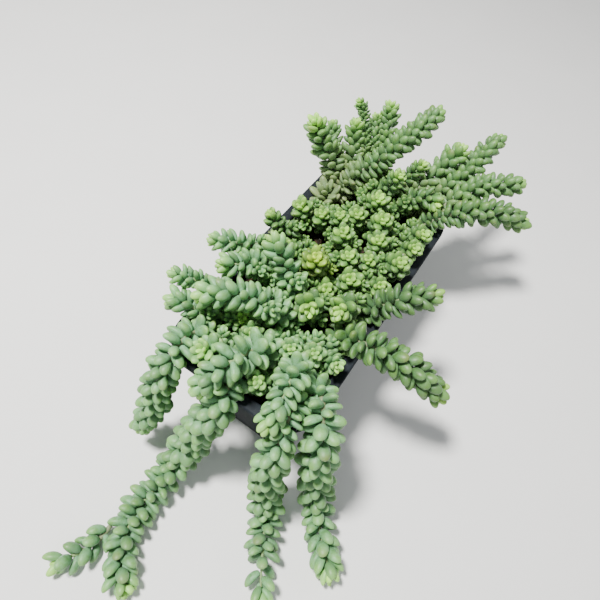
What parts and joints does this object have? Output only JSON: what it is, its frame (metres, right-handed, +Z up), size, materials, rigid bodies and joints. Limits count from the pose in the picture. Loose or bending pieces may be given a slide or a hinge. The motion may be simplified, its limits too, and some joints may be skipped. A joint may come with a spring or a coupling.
{
  "type": "potted burros tail plant",
  "caption": "Trough pot of burro's tail succulent: plump leafy shoots standing in the crown and trailing over the near end along the surface.",
  "frame": {"origin": "centre of the pot's flat base, on the surface the pot stands on", "axes": "+X along the pot towards its far end, away from the trailing shoots; +Y towards its left long side; +Z up"},
  "size_m": [0.5955, 0.2695, 0.1871],
  "materials": {
    "pot": "moulded dark slate plastic with a fine matt grain",
    "potting_mix": "damp dark potting mix with pale grit",
    "leaf_deep": "smooth fleshy leaf, deep green with a thin waxy bloom",
    "leaf_fresh": "smooth fleshy leaf, yellow green at the growing tip",
    "leaf_bright": "smooth fleshy leaf, bright yellow green rosette",
    "leaf_bloom": "smooth fleshy leaf under a blue-green waxy bloom"
  },
  "bodies": {
    "root": {"pot": "pot", "potting_mix": "potting_mix", "far_01": "leaf_deep", "far_02": "leaf_deep", "far_03": "leaf_deep", "far_04": "leaf_deep", "far_05": "leaf_deep", "far_06": "leaf_deep", "far_07": "leaf_deep", "far_08": "leaf_deep", "far_09": "leaf_deep", "far_10": "leaf_deep", "far_11": "leaf_fresh", "far_12": "leaf_fresh", "far_13": "leaf_fresh", "far_14": "leaf_fresh", "far_15": "leaf_fresh", "far_16": "leaf_deep", "crown_01": "leaf_fresh", "crown_02": "leaf_fresh", "crown_03": "leaf_fresh", "crown_04": "leaf_fresh", "crown_05": "leaf_fresh", "crown_06": "leaf_fresh", "crown_07": "leaf_bright", "crown_08": "leaf_fresh", "crown_09": "leaf_fresh", "crown_10": "leaf_fresh", "crown_11": "leaf_fresh", "crown_12": "leaf_fresh", "crown_13": "leaf_fresh", "crown_14": "leaf_fresh", "crown_15": "leaf_fresh", "crown_16": "leaf_fresh", "crown_17": "leaf_fresh", "crown_18": "leaf_fresh", "crown_19": "leaf_bloom", "crown_20": "leaf_bloom", "crown_21": "leaf_bloom", "crown_22": "leaf_bloom", "crown_23": "leaf_bloom", "crown_24": "leaf_fresh", "crown_25": "leaf_fresh", "left_01": "leaf_bloom", "left_02": "leaf_bloom", "left_03": "leaf_bloom", "left_04": "leaf_bloom", "left_05": "leaf_bloom", "left_06": "leaf_bloom", "left_07": "leaf_bloom", "left_08": "leaf_bloom", "near_01": "leaf_bloom", "near_02": "leaf_bloom", "near_03": "leaf_bloom", "trail_01": "leaf_bloom", "trail_02": "leaf_bloom", "trail_03": "leaf_bloom", "trail_04": "leaf_bloom", "right_01": "leaf_fresh", "right_02": "leaf_fresh"}
  },
  "joints": []
}
